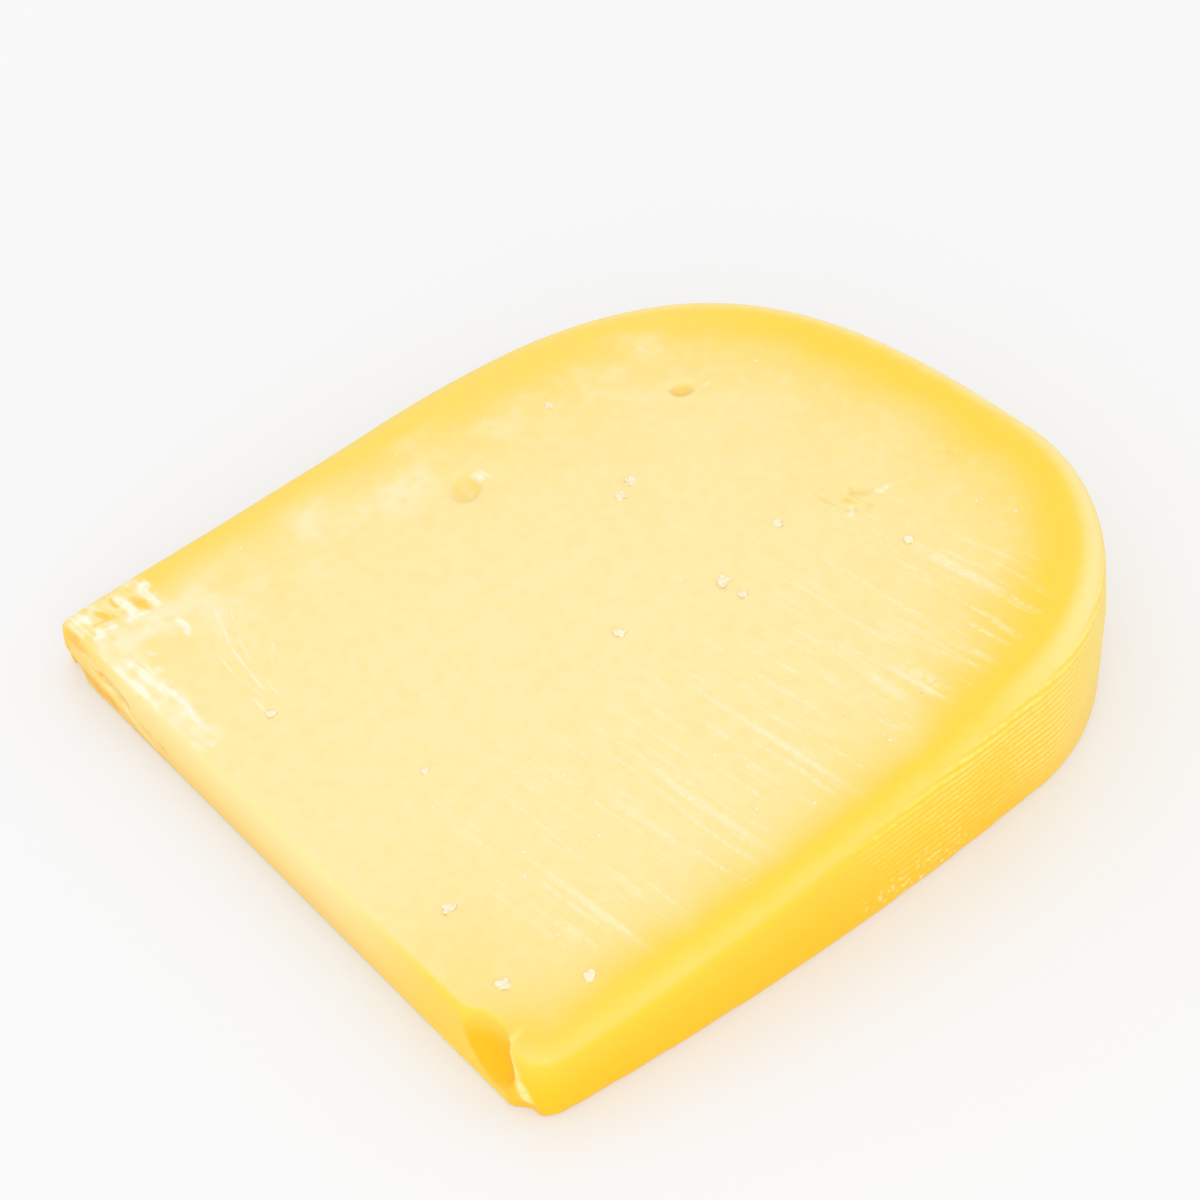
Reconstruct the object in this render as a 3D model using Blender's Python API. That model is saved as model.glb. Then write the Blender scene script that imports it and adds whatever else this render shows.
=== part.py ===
"""A wedge of Gouda-type cheese, lying on one of its two cut faces.

The piece was cut from a whole wheel whose axis ran along X. So X spans the wheel's height, from flat
rind to flat rind, and Y runs outward, from the blunt tip near the wheel's middle to the curved rim.
The lower cut face lies level, and the upper one climbs toward the rim. Units are metres, and the
origin is under the middle of the piece, on the surface that it rests on.
"""

from math import cos, pi, radians, sin, sqrt, tan

import bmesh
import bpy
from mathutils import Euler, Matrix, Vector

# The whole wheel.
WHEEL_HEIGHT = 0.105      # between the wheel's two flats
WHEEL_RADIUS = 0.188

# The cut piece.
LENGTH = 0.1187           # tip to rim, on the lower cut face
TIP_THICKNESS = 0.0091    # middle of the tip
TIP_DIFFERENCE = 0.0024   # how much thicker the tip is at +X than at -X
WEDGE_SLOPE = tan(radians(7.53))
SIDE_BOW = 0.0017         # how far the +X flat swells in the middle
LEAN_START = 0.0356       # the wall stands straight up to here along Y
LEAN_BLEND = 0.0356       # and has the whole of the rim's lean this far beyond

# The rim's rounded shoulders: where each one starts along Y, and how square its curve is.
RIM_CREST_X = 0.0173
LEFT_SHOULDER_START = 0.0450
LEFT_SQUARENESS = 3.11
RIGHT_SHOULDER_START = 0.0823
RIGHT_SQUARENESS = 1.89

# Rounding.
TIP_CORNER_LEFT = 0.0019
TIP_CORNER_RIGHT = 0.0052
RIND_EDGE = 0.0036        # round of the upper edge, along the rind
TIP_EDGE = 0.0013         # the same along the tip, where the knife left it sharper
EDGE_BLEND = 0.010        # how far from the tip the one has grown into the other
FOOT_EDGE = 0.0005        # round of the lower edge

SHOULDER_STEPS = 26
CORNER_STEPS = 5
FLAT_STEPS = 8
EDGE_STEPS = 5            # rows of faces round the upper edge
WALL_STEPS = 3            # rows of faces up the wall
CUTTER_SEGMENTS = 20
CUTTER_RINGS = 9
SLIVER = 0.00002          # the hollows' edges leave nothing narrower than this
SMOOTH_ANGLE = radians(40)

# Holes that the cut opened in the upper face: X and Y, then length, width and depth, and turn about Z.
EYES = {
    "eye_left": (-0.0307, 0.0545, 0.0066, 0.0050, 0.0013, radians(-38)),
    "eye_back": (-0.0234, 0.0882, 0.0037, 0.0030, 0.0016, radians(41)),
    "eye_rim": (0.0137, 0.1042, 0.0019, 0.0013, 0.0006, radians(36)),
    "tear_long": (0.0102, 0.0908, 0.0050, 0.0021, 0.0007, radians(48)),
    "tear_short": (0.0121, 0.0876, 0.0027, 0.0016, 0.0006, radians(30)),
}

# Where the tip is damaged: each hollow's centre, overall size, tilt about Y and turn about Z. A shard is
# broken off the upper edge beside the right corner, where the rind stands past it, and the foot is
# nicked below. Near the left corner a flat gap opens in the tip's face, and the corner's foot is undercut.
HOLLOWS = {
    "chip": ((0.0432, -0.0013, 0.0086), (0.0134, 0.0072, 0.0093), radians(53), radians(12)),
    "chip_foot": ((0.0500, 0.0002, 0.0003), (0.0050, 0.0032, 0.0050), radians(0), radians(25)),
    "gap": ((-0.0384, 0.0003, 0.0047), (0.0080, 0.0034, 0.0018), radians(11), radians(3)),
    "gap_foot": ((-0.0500, 0.0000, 0.0006), (0.0070, 0.0024, 0.0056), radians(0), radians(2)),
}

CHEESE_YELLOW = (0.91, 0.62, 0.16, 1.0)


def clear_scene():
    for scene_object in list(bpy.data.objects):
        bpy.data.objects.remove(scene_object, do_unlink=True)


def new_collection(name):
    collection = bpy.data.collections.new(name)
    bpy.context.scene.collection.children.link(collection)
    return collection


def cheese_material():
    material = bpy.data.materials.new("cheese")
    material.use_nodes = True
    shader = material.node_tree.nodes["Principled BSDF"]
    shader.inputs["Base Color"].default_value = CHEESE_YELLOW
    shader.inputs["Roughness"].default_value = 0.45
    shader.inputs["Metallic"].default_value = 0.0
    return material


def smooth_step(share):
    """0 below 0 and 1 above 1, with an S between them."""
    share = min(max(share, 0.0), 1.0)
    return share * share * (3.0 - 2.0 * share)


def upper_face_height(x, y):
    """Height of the upper cut face, which is a flat plane, over the lower one."""
    return TIP_THICKNESS + TIP_DIFFERENCE * x / WHEEL_HEIGHT + WEDGE_SLOPE * y


def rim_lean(y, z):
    """How far the wall at y leans back at height z, because the rim is round about the wheel's axis."""
    axis_distance = y + WHEEL_RADIUS - LENGTH
    return smooth_step((y - LEAN_START) / LEAN_BLEND) * (axis_distance - sqrt(axis_distance ** 2 - z ** 2))


def shoulder(side, squareness, start_y):
    """A quarter of a superellipse from the flat rind (side -1 or +1) up to the rim's crest."""
    reach = WHEEL_HEIGHT / 2 - side * RIM_CREST_X
    points = []
    for step in range(SHOULDER_STEPS + 1):
        angle = pi / 2 * (step / SHOULDER_STEPS)
        x = RIM_CREST_X + side * reach * cos(angle) ** (2 / squareness)
        y = start_y + (LENGTH - start_y) * sin(angle) ** (2 / squareness)
        points.append((x, y))
    return points


def corner_arc(centre, radius, first_angle):
    """A quarter turn, counter-clockwise from first_angle."""
    points = []
    for step in range(CORNER_STEPS + 1):
        angle = first_angle + pi / 2 * (step / CORNER_STEPS)
        points.append((centre[0] + radius * cos(angle), centre[1] + radius * sin(angle)))
    return points


def right_flat():
    """The +X flat between its tip corner and its shoulder, with a slight outward bow."""
    points = []
    for step in range(1, FLAT_STEPS):
        share = step / FLAT_STEPS
        y = TIP_CORNER_RIGHT + (RIGHT_SHOULDER_START - TIP_CORNER_RIGHT) * share
        points.append((WHEEL_HEIGHT / 2 + 4 * SIDE_BOW * share * (1 - share), y))
    return points


def plan_outline():
    """The piece's outline from above, counter-clockwise from the left corner of the tip."""
    half = WHEEL_HEIGHT / 2
    left = corner_arc((-half + TIP_CORNER_LEFT, TIP_CORNER_LEFT), TIP_CORNER_LEFT, pi)
    right = corner_arc((half - TIP_CORNER_RIGHT, TIP_CORNER_RIGHT), TIP_CORNER_RIGHT, -pi / 2)
    right_shoulder = shoulder(1, RIGHT_SQUARENESS, RIGHT_SHOULDER_START)
    left_shoulder = shoulder(-1, LEFT_SQUARENESS, LEFT_SHOULDER_START)
    return [Vector(point) for point in left + right + right_flat() + right_shoulder + left_shoulder[-2::-1]]


def inset(outline, distances):
    """The outline with each point moved in, square to its neighbours, by its own distance."""
    points = []
    for index, point in enumerate(outline):
        along = outline[(index + 1) % len(outline)] - outline[index - 1]
        inward = Vector((-along.y, along.x)).normalized()
        points.append(point + inward * distances[index])
    return points


def edge_radius(point):
    """Round of the upper edge at a point of the outline."""
    return TIP_EDGE + (RIND_EDGE - TIP_EDGE) * smooth_step(point.y / EDGE_BLEND)


def foot_row(outline, turn):
    """A loop round the lower edge: turn 0 is on the resting face, and a quarter turn is on the wall."""
    points = inset(outline, [FOOT_EDGE * (1 - sin(turn))] * len(outline))
    return [(point.x, point.y, FOOT_EDGE * (1 - cos(turn))) for point in points]


def wall_row(outline, share):
    """A loop up the wall, between the foot and where the upper edge starts to turn in."""
    row = []
    for point in outline:
        wall_top = upper_face_height(point.x, point.y) - edge_radius(point)
        z = FOOT_EDGE + (wall_top - FOOT_EDGE) * share
        row.append((point.x, point.y - rim_lean(point.y, z), z))
    return row


def edge_row(outline, turn):
    """A loop round the upper edge: turn 0 is on the wall, and a quarter turn is on the upper face."""
    radii = [edge_radius(point) for point in outline]
    row = []
    for point, radius in zip(inset(outline, [radius * (1 - cos(turn)) for radius in radii]), radii):
        y = point.y - rim_lean(point.y, upper_face_height(point.x, point.y))
        row.append((point.x, y, upper_face_height(point.x, y) - radius * (1 - sin(turn))))
    return row


def wedge_mesh():
    """A skin over the loops from the resting face up to the upper cut face, closed by both faces."""
    outline = plan_outline()
    rows = [foot_row(outline, 0.0), foot_row(outline, pi / 4)]
    rows += [wall_row(outline, step / WALL_STEPS) for step in range(WALL_STEPS)]
    rows += [edge_row(outline, pi / 2 * (step / EDGE_STEPS)) for step in range(EDGE_STEPS + 1)]
    bm = bmesh.new()
    loops = [[bm.verts.new(point) for point in row] for row in rows]
    for lower, upper in zip(loops, loops[1:]):
        for index in range(len(outline)):
            bm.faces.new((lower[index - 1], lower[index], upper[index], upper[index - 1]))
    bm.faces.new(reversed(loops[0]))
    bm.faces.new(loops[-1])
    mesh = bpy.data.meshes.new("cheese_wedge")
    bm.to_mesh(mesh)
    bm.free()
    return mesh


def add_wedge(parent, collection, material):
    mesh = wedge_mesh()
    mesh.materials.append(material)
    wedge = bpy.data.objects.new("cheese_wedge", mesh)
    wedge.parent = parent
    collection.objects.link(wedge)
    return wedge


def add_cutter(name, centre, size, tilt, turn, parent, collection):
    """An ellipsoid of the given overall size, tilted about Y and then turned about Z."""
    bm = bmesh.new()
    placing = Matrix.LocRotScale(centre, Euler((0, tilt, turn)), Vector(size) / 2)
    bmesh.ops.create_uvsphere(
        bm, u_segments=CUTTER_SEGMENTS, v_segments=CUTTER_RINGS, radius=1.0, matrix=placing
    )
    mesh = bpy.data.meshes.new(name)
    bm.to_mesh(mesh)
    bm.free()
    cutter = bpy.data.objects.new(name, mesh)
    cutter.parent = parent
    cutter.hide_render = True
    cutter.display_type = "WIRE"
    collection.objects.link(cutter)
    return cutter


def add_all_cutters(parent, collection):
    cutters = []
    for name, (x, y, length, width, depth, turn) in EYES.items():
        centre = (x, y, upper_face_height(x, y))
        size = (length, width, 2 * depth)
        cutters.append(add_cutter(name, centre, size, 0.0, turn, parent, collection))
    for name, (centre, size, tilt, turn) in HOLLOWS.items():
        cutters.append(add_cutter(name, centre, size, tilt, turn, parent, collection))
    return cutters


def cut(wedge, cutters):
    for cutter in cutters:
        hole = wedge.modifiers.new(cutter.name, "BOOLEAN")
        hole.operation = "DIFFERENCE"
        hole.solver = "EXACT"
        hole.object = cutter
    tidy = wedge.modifiers.new("tidy", "WELD")
    tidy.merge_threshold = SLIVER


def tip_to_centre():
    """From the middle of the tip, where the sizes start, to the middle of the piece's box."""
    xs, ys = zip(*plan_outline())
    return Vector(((min(xs) + max(xs)) / 2, (min(ys) + max(ys)) / 2, 0.0))


def main():
    clear_scene()
    parts = new_collection("cheese_wedge")
    cutter_collection = new_collection("cutters")
    tip = bpy.data.objects.new("middle_of_tip", None)
    tip.location = -tip_to_centre()
    parts.objects.link(tip)
    wedge = add_wedge(tip, parts, cheese_material())
    cut(wedge, add_all_cutters(tip, cutter_collection))
    wedge.data.shade_smooth()
    wedge.data.set_sharp_from_angle(angle=SMOOTH_ANGLE)


main()
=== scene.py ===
"""Looks for a wedge of aged Gouda-type cheese that lies on one of its cut faces.

The cheese is grown from the frame's own solid: a dense skin takes its shape, Geometry Nodes measure how
far each point lies from the rind and give the skin its unevenness, and one material carries the paste,
the yellow band under the rind and the cloth imprint on it. The protein crystals are a second piece.

Places on the cheese are in millimetres from the middle of the tip's lower edge: X along the axis of the
wheel that the piece was cut from, Y from the tip to the rim, Z up from the resting face.
"""

import math
import random

import bmesh
import bpy
from mathutils import Matrix, Vector
from mathutils.bvhtree import BVHTree


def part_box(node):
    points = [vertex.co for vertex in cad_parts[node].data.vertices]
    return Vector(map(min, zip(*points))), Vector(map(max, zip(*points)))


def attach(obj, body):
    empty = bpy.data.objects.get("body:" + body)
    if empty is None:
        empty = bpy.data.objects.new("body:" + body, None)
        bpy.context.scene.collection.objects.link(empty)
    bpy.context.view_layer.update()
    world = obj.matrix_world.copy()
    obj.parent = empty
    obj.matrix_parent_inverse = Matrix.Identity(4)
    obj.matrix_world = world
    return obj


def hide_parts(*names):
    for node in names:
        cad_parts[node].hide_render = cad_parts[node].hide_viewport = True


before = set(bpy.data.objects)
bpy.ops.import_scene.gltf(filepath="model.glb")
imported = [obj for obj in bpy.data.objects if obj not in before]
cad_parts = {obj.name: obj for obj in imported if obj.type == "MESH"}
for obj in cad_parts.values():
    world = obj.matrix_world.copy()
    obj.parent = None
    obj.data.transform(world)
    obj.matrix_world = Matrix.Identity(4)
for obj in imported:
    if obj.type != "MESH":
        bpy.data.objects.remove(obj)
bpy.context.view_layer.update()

MM = 0.001
WHEEL_HEIGHT = 105.0
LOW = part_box("cheese_wedge")[0]
TIP_MIDDLE = Vector((-0.85 * MM, LOW.y, 0.0))

# The upper cut face climbs from the tip to the rim, and a little from -X to +X.
TIP_THICKNESS = 9.1
RISE_ALONG_Y = math.tan(math.radians(7.53))
RISE_ALONG_X = 2.4 / WHEEL_HEIGHT
FACE_SLOPE = Vector((-RISE_ALONG_X, -RISE_ALONG_Y, 1.0))


def linear(hex_colour):
    """An sRGB hex colour as linear RGBA."""
    parts = [int(hex_colour[i:i + 2], 16) / 255 for i in (1, 3, 5)]
    return [p / 12.92 if p <= 0.04045 else ((p + 0.055) / 1.055) ** 2.4 for p in parts] + [1.0]


def place(x, y, z=0.0):
    """A place on the cheese, in millimetres from the tip, as metres in the frame."""
    return TIP_MIDDLE + Vector((x, y, z)) * MM


def upper_face(x, y):
    """Height in millimetres of the upper cut face."""
    return TIP_THICKNESS + RISE_ALONG_X * x + RISE_ALONG_Y * y


def add(tree, kind, inputs=(), **settings):
    """Adds a node. inputs gives its sockets, in order or by name, values, nodes or nodes' outputs."""
    node = tree.nodes.new(kind)
    for name, value in settings.items():
        setattr(node, name, value)
    for key, value in inputs.items() if isinstance(inputs, dict) else enumerate(inputs):
        if isinstance(value, bpy.types.Node):
            value = next(output for output in value.outputs if output.enabled)
        if isinstance(value, bpy.types.NodeSocket):
            tree.links.new(value, node.inputs[key])
        else:
            node.inputs[key].default_value = value
    return node


def set_ramp(node, stops):
    """Gives a Color Ramp its stops, as (place from 0 to 1, hex colour)."""
    elements = node.color_ramp.elements
    while len(elements) > 1:
        elements.remove(elements[-1])
    elements[0].position, elements[0].color = stops[0][0], linear(stops[0][1])
    for position, colour in stops[1:]:
        elements.new(position).color = linear(colour)
    return node


# ---------------------------------------------------------------- what shows on the cheese

# The paste from the rind inwards, as (depth in mm, colour): the rind's edge, a little paler as a painted
# highlight, the dried band, the middle.
PASTE_BY_DEPTH = (
    (0.0, "#EDCF68"),
    (1.0, "#EDCD56"),
    (2.0, "#EDCB46"),
    (3.0, "#EDCA40"),
    (4.0, "#EDCB4E"),
    (5.0, "#EDCD60"),
    (6.0, "#EDCF6E"),
    (8.0, "#EDD382"),
    (10.0, "#EDD58A"),
    (13.0, "#EDD792"),
    (17.0, "#EDD896"),
    (24.0, "#EDD999"),
    (38.0, "#EEDA9C"),
)
PASTE_REACH = 38.0

# The rind and the tip's cut from the foot up, as (share of the height, colour): deeper towards the foot as
# painted shade, paler towards the upper edge as a painted highlight.
# Painted shade towards the rind's foot and a painted highlight towards its rounded top edge:
RIND_SHADED_BY_LEVEL = (
    (0.0, "#FAC304"),
    (0.35, "#FAC80C"),
    (0.6, "#F9CF26"),
    (0.8, "#F7D23C"),
    (1.0, "#F4D35A"),
)
# Painted shade towards the tip's foot and a painted highlight along its upper edge:
TIP_SHADED_BY_LEVEL = (
    (0.05, "#EEC668"),
    (0.3, "#F1D07A"),
    (0.5, "#F4D880"),
    (0.75, "#F4DC90"),
    (0.95, "#F2DB96"),
)
LEFT_DEEPER = "#EFD684"      # the paste towards -X
CORNER_DEEPER = "#EDCC66"    # the paste at the right corner of the tip
# the deeper yellow of the band under the rind, darkened as painted shade in the shard's scoop
BROKEN_SHADE_YELLOW = "#F0B800"
# the scoop towards its top, with less painted shade
BROKEN_LESS_SHADED = "#F7D250"
# painted shade deep in the holes
PIT_SHADE_YELLOW = "#F1D27A"
# paler scuffed paste of the marks and scratches, with a painted sheen
MARK_SHEEN_CREAM = "#F1E4BC"
# white of the painted glints on the shining skin and at the holes' rims
GLINT_WHITE = "#F3ECD6"
# pale veil of painted sheen on the shining skin
SHEEN_VEIL_CREAM = "#F0E2B8"
BARED_GOLD = "#EDC03C"
BLOOM_CREAM = "#EFE0B2"
MOTTLE_CREAM = "#F0E1AC"
MOTTLE_DEEP = "#ECCE7C"
# painted highlight on the crests of the cloth's threads
CLOTH_CREST_HIGHLIGHT = "#F9E372"
# painted shade in the cloth's grooves
CLOTH_GROOVE_SHADE = "#F8B804"
# painted highlight on the rounded edge round the rim
RIM_EDGE_HIGHLIGHT = "#F1DC93"
# painted sheen on the rind round the rim
RIND_SHEEN_BY_RIM = "#F6DE7C"
CRUMB_PALE = "#FAE6A0"
TIP_GOLD_RIGHT = "#F8CC34"
# painted shade round the gap near the tip's left corner
TIP_GAP_SHADE_GOLD = "#F2C850"
# painted shadow in the hollows of the tip's cut
HOLLOW_SHADOW_AMBER = "#EDAA1E"
# painted highlight along the thin lips of the tip's cut
LIP_HIGHLIGHT_CREAM = "#F8E4A4"
# painted highlight along the torn ridge beside the shard
TORN_HIGHLIGHT_CREAM = "#F9E08C"

# Marks on the upper face, as start, end (X and Y in mm), half width and, where they vary, strength.
# Where the wire dragged:
WIRE_MARKS = (
    ((-6.7, 69.1), (2.2, 70.0), 0.60, 0.5),
    ((14.0, 92.0), (41.6, 96.0), 0.65, 0.4),
    ((23.3, 88.1), (38.6, 90.4), 0.95, 0.8),
    ((24.2, 77.1), (49.7, 79.0), 0.60, 0.5),
    ((24.6, 75.3), (42.2, 76.9), 0.90, 0.4),
    ((34.2, 68.4), (42.9, 68.9), 1.20, 0.7),
    ((34.7, 71.4), (46.3, 72.0), 0.95, 0.7),
    ((35.9, 73.6), (46.3, 74.1), 0.80, 0.4),
    ((24.0, 52.2), (50.9, 54.4), 0.65, 0.8),
    ((25.4, 39.0), (51.1, 41.1), 0.75, 0.7),
    ((26.8, 37.2), (44.0, 38.2), 0.65, 0.4),
    ((26.9, 42.6), (39.3, 43.3), 1.20, 0.4),
    ((26.5, 33.0), (41.9, 33.8), 0.95, 0.6),
    ((32.7, 25.0), (45.5, 25.7), 0.70, 0.5),
    ((28.1, 19.7), (50.8, 21.2), 0.75, 0.7),
    ((31.5, 15.5), (46.0, 16.5), 0.90, 0.4),
    ((-42.9, 89.3), (-26.4, 90.6), 0.50, 0.4),
    ((-43.4, 49.9), (-38.0, 50.3), 0.50, 0.4),
    ((-21.9, 90.4), (8.7, 94.5), 0.70, 0.3),
    ((-29.4, 16.9), (-27.4, 16.5), 0.80, 0.4),
)
# Where the knife's point scratched, and more lightly beside that:
SCRATCHES = (
    ((-37.7, 16.9), (-34.9, 15.7), 0.26),
    ((-35.1, 15.8), (-29.7, 14.0), 0.30),
    ((-30.0, 14.1), (-24.4, 13.2), 0.30),
    ((-24.8, 13.3), (-19.7, 12.7), 0.30),
    ((-21.0, 11.0), (-16.1, 10.6), 0.28),
)
LIGHT_SCRATCHES = (
    ((-39.2, 17.3), (-34.7, 15.1), 0.26),
    ((-34.9, 15.2), (-31.9, 14.0), 0.26),
    ((-36.5, 18.5), (-33.6, 16.9), 0.26),
    ((-31.1, 16.0), (-28.6, 15.1), 0.30),
    ((-28.8, 15.2), (-25.1, 14.4), 0.28),
    ((-21.6, 13.9), (-17.6, 13.6), 0.26),
    ((-31.3, 12.1), (-23.9, 11.4), 0.28),
    ((-26.6, 18.5), (-25.4, 17.9), 0.32),
    ((-24.9, 17.1), (-23.8, 16.6), 0.30),
)
# Painted glints, as white painted into the colour: where the paste is smeared and shines, in the left corner of
# the tip, and at the holes' rims:
PAINTED_GLINTS = (
    ((-40.2, 2.9), (-35.7, 3.1), 0.60, 0.7),
    ((-37.5, 3.0), (-32.0, 3.4), 0.85, 1.0),
    ((-32.5, 3.3), (-26.3, 4.0), 0.70, 0.9),
    ((-27.0, 4.0), (-20.9, 3.4), 0.55, 0.6),
    ((-30.6, 2.9), (-24.6, 2.8), 0.45, 0.5),
    ((-39.8, 1.2), (-34.1, 0.9), 0.55, 0.6),
    ((-35.5, 0.8), (-30.4, 1.2), 0.70, 1.0),
    ((-31.0, 1.2), (-27.6, 1.0), 0.55, 0.7),
    ((-29.4, 0.6), (-21.6, 0.2), 0.32, 0.5),
    ((-22.0, 0.3), (-16.9, 0.1), 0.38, 0.7),
    ((-16.9, 0.2), (-17.4, 2.8), 0.38, 0.5),
    ((-45.2, 2.3), (-46.0, 3.6), 0.80, 1.0),
    ((-45.8, 3.6), (-45.0, 5.6), 0.60, 1.0),
    ((-45.1, 5.5), (-44.4, 8.2), 0.35, 0.7),
    ((-44.5, 8.0), (-43.8, 10.0), 0.30, 0.7),
    ((-49.8, 8.0), (-47.6, 8.4), 0.60, 0.9),
    ((-47.8, 8.4), (-45.7, 8.3), 0.85, 1.0),
    ((-45.4, 8.5), (-45.0, 7.4), 0.55, 0.8),
    ((-44.8, 8.1), (-44.0, 10.1), 0.50, 1.0),
    ((-49.2, 12.1), (-47.2, 11.8), 0.90, 1.0),
    ((-47.4, 11.8), (-45.8, 11.5), 0.60, 0.9),
    ((-46.0, 11.6), (-44.2, 11.6), 0.60, 0.9),
    ((-39.9, 11.8), (-37.8, 11.9), 0.70, 0.7),
    ((-37.6, 11.7), (-36.2, 11.2), 0.50, 0.8),
    ((-35.4, 9.4), (-34.2, 9.2), 0.45, 0.5),
    ((-38.2, 5.8), (-36.8, 5.9), 0.45, 0.6),
    ((-40.2, 6.5), (-39.0, 6.3), 0.55, 0.4),
    ((-34.4, 5.0), (-33.0, 5.1), 0.40, 0.5),
    ((-51.3, 1.6), (-48.7, 2.9), 1.00, 0.4),
    # At the holes' rims, painted glints:
    ((-31.7, 57.0), (-30.6, 57.5), 0.90, 0.9),
    ((-21.4, 89.6), (-21.5, 91.6), 0.55, 0.8),
    ((12.0, 87.8), (13.1, 87.0), 0.55, 0.8),
    ((12.5, 92.8), (12.9, 94.1), 0.60, 0.8),
)
# Where the knife bared the deeper yellow beside the smears:
BARED = (
    ((-47.8, 9.7), (-44.4, 10.3), 1.00, 1.0),
    ((-50.2, 7.4), (-48.0, 7.4), 0.70, 0.8),
    ((-48.8, 4.8), (-46.2, 6.2), 0.80, 1.0),
    ((-47.5, 3.2), (-47.1, 4.6), 0.50, 0.7),
    # This one is painted shade in the hole, under its painted glint:
    ((-31.4, 56.2), (-30.6, 56.0), 0.90, 0.5),
    ((8.6, 88.4), (12.4, 89.8), 2.60, 0.32),
)
# Marks on the tip's cut, with X and Z instead: a painted highlight along its thin lips, painted shadow in its
# hollows, and a painted highlight along the torn edge beside the shard:
TIP_LIP_HIGHLIGHTS = (
    ((-45.2, 5.1), (-42.0, 4.0), 0.34),
    ((-42.4, 4.1), (-37.0, 3.8), 0.36),
    ((-37.4, 3.9), (-32.4, 1.9), 0.38),
    ((-32.8, 2.0), (-27.0, 0.8), 0.28),
    ((-48.0, 6.6), (-38.5, 5.9), 0.22),
)
TIP_HOLLOW_SHADOWS = (
    ((-42.5, 5.4), (-34.6, 4.9), 0.85, 1.0),
    ((-48.0, 2.4), (-36.0, 1.6), 1.30, 0.8),
    ((-37.0, 0.9), (-25.0, 0.5), 0.80, 0.7),
    ((-53.0, 6.5), (-44.0, 7.6), 1.20, 0.6),
    ((-33.0, 3.2), (-22.0, 2.6), 0.60, 0.4),
)
TORN_EDGE_HIGHLIGHTS = (
    ((46.2, 10.4), (47.8, 9.3), 0.55, 0.8),
    ((47.8, 9.4), (48.8, 6.6), 0.85, 1.0),
    ((48.8, 6.6), (50.1, 2.4), 0.80, 1.0),
)

# The shard that broke away beside the right corner of the tip, as an oval in mm:
SHARD_MIDDLE = (43.2, -0.8, 7.4)
SHARD_TURN = (0.0, math.radians(53), math.radians(12))
SHARD_REACH = (6.6, 3.6, 4.6)

# Sizes of what repeats over the cheese, in mm.
CLOTH_PITCH = 1.12
DRAG_LENGTH = 12.0
DRAG_WIDTH = 0.95
GRIT_SIZE = 0.8
LUMP_SIZE = 1.9
BROAD_SIZE = 11.0

SOFTLY = {"interpolation_type": "SMOOTHSTEP"}


def cheese_millimetres(tree):
    """The place on the cheese, in millimetres from the tip, for every point of the surface."""
    coordinates = add(tree, "ShaderNodeTexCoord")
    return add(
        tree, "ShaderNodeVectorMath", (coordinates.outputs["Object"], (1 / MM,) * 3, tuple(-TIP_MIDDLE / MM)),
        operation="MULTIPLY_ADD",
    )


def fine_share(tree, name):
    """From 0 off the fine marks written on the surface under a name to 1 along their middle."""
    across = add(tree, "ShaderNodeAttribute", attribute_name=name).outputs["Vector"]
    reach = add(tree, "ShaderNodeVectorMath", (across,), operation="LENGTH").outputs["Value"]
    return add(tree, "ShaderNodeMapRange", (reach, 1.0, 0.25), **SOFTLY)


def soft_share(tree, name, fray=0.0):
    """From 0 off the soft marks written on the surface under a name to 1, with edges frayed by a noise."""
    written = add(tree, "ShaderNodeAttribute", attribute_name=name).outputs["Fac"]
    frayed = add(tree, "ShaderNodeMath", (written, fray), operation="ADD")
    share = add(tree, "ShaderNodeMapRange", (frayed, 0.15, 0.95), **SOFTLY)
    return add(tree, "ShaderNodeMapRange", (written, 0.0, 0.15, 0.0, share))


def layers_on(tree, colour, layers):
    """Colours laid over a colour one after the other, each as (colour, share of 0 to 1)."""
    for laid, share in layers:
        laid = linear(laid) if isinstance(laid, str) else laid
        colour = add(tree, "ShaderNodeMix", {0: share, 6: colour, 7: laid}, data_type="RGBA")
    return colour


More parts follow.
